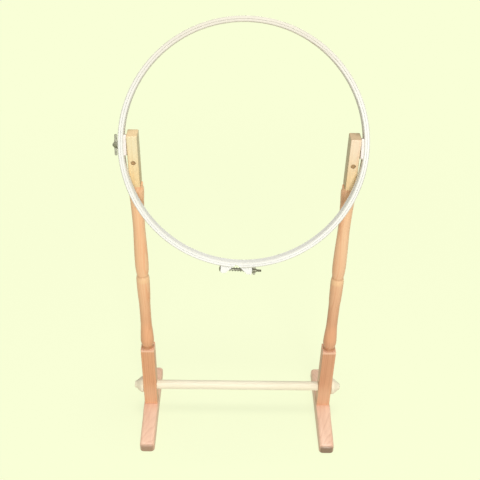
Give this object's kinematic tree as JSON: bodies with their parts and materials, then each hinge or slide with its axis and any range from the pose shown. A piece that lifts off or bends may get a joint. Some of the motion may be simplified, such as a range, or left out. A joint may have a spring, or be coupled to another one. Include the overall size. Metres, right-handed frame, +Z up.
{
  "type": "quilting hoop",
  "caption": "Floor-standing quilting hoop: two thin bent-wood rings with a sprung bolt closure, pivoted between turned posts on front-to-back feet and tied by a round crossbar with knobs.",
  "frame": {"origin": "on the floor, midway between the two posts", "axes": "+X to the quilter's right, +Y away from the quilter, +Z up"},
  "size_m": [0.612, 0.315, 1.1946],
  "materials": {
    "honey_wood": "satin varnish",
    "peg_wood": "satin varnish over end grain",
    "cream_wood": "bare sanded birch",
    "hoop_wood": "bare sanded pale bent wood",
    "zinc_steel": "dull zinc plate",
    "spring_steel": "drawn wire"
  },
  "bodies": {
    "stand": {"left_foot": "honey_wood", "right_foot": "honey_wood", "left_post": "honey_wood", "right_post": "honey_wood", "left_top_block": "honey_wood", "right_top_block": "honey_wood", "left_peg": "peg_wood", "right_peg": "peg_wood", "crossbar": "cream_wood", "foot_bolts": "zinc_steel", "foot_washers": "zinc_steel", "foot_dowels": "cream_wood", "left_pivot_bolt": "zinc_steel", "right_pivot_screw": "zinc_steel"},
    "left_knob": {"left_crossbar_knob": "cream_wood"},
    "right_knob": {"right_crossbar_knob": "cream_wood"},
    "inner_hoop": {"inner_ring": "hoop_wood", "left_pivot_pad": "hoop_wood", "right_pivot_pad": "hoop_wood"},
    "outer_hoop": {"outer_ring": "hoop_wood", "left_closure_block": "hoop_wood", "right_closure_block": "hoop_wood", "closure_block_screws": "zinc_steel", "closure_bolt": "zinc_steel", "closure_spring": "spring_steel"},
    "closure_washer": {"closure_washer": "zinc_steel"},
    "closure_nut": {"closure_wing_nut": "zinc_steel"},
    "pivot_washer": {"left_pivot_washer": "zinc_steel"},
    "pivot_nut": {"left_pivot_wing_nut": "zinc_steel"}
  },
  "joints": [
    {"name": "hoop_tilt", "type": "hinge", "parent": "stand", "child": "inner_hoop", "pos_m": [0, -0.009, 0.915], "axis": [-1, 0, 0], "range_deg": [-1, 110]},
    {"name": "outer_hoop_lift", "type": "slide", "parent": "inner_hoop", "child": "outer_hoop", "axis": [0, -0.9397, 0.342], "range_m": [0, 0.05]},
    {"name": "closure_washer_slide", "type": "slide", "parent": "outer_hoop", "child": "closure_washer", "axis": [0.999, -0.0149, -0.041], "range_m": [0, 0.011]},
    {"name": "closure_nut_spin", "type": "hinge", "parent": "closure_washer", "child": "closure_nut", "pos_m": [-0.01314, -0.11195, 0.63214], "axis": [0.999, -0.0149, -0.041], "range_deg": [0, 3117.6]},
    {"name": "pivot_washer_slide", "type": "slide", "parent": "stand", "child": "pivot_washer", "axis": [-1, 0, 0], "range_m": [0, 0.005]},
    {"name": "pivot_nut_spin", "type": "hinge", "parent": "pivot_washer", "child": "pivot_nut", "pos_m": [0, -0.009, 0.915], "axis": [-1, 0, 0], "range_deg": [0, 1275.2]},
    {"name": "left_knob_spin", "type": "hinge", "parent": "stand", "child": "left_knob", "pos_m": [-0.29, 0, 0.106], "axis": [-1, 0, 0], "continuous": true},
    {"name": "right_knob_spin", "type": "hinge", "parent": "stand", "child": "right_knob", "pos_m": [0.29, 0, 0.106], "axis": [1, 0, 0], "continuous": true}
  ],
  "couplings": [
    {"joint": "closure_washer_slide", "follows": "closure_nut_spin", "m_per_rad": 0.00020213},
    {"joint": "pivot_washer_slide", "follows": "pivot_nut_spin", "m_per_rad": 0.00022457}
  ]
}
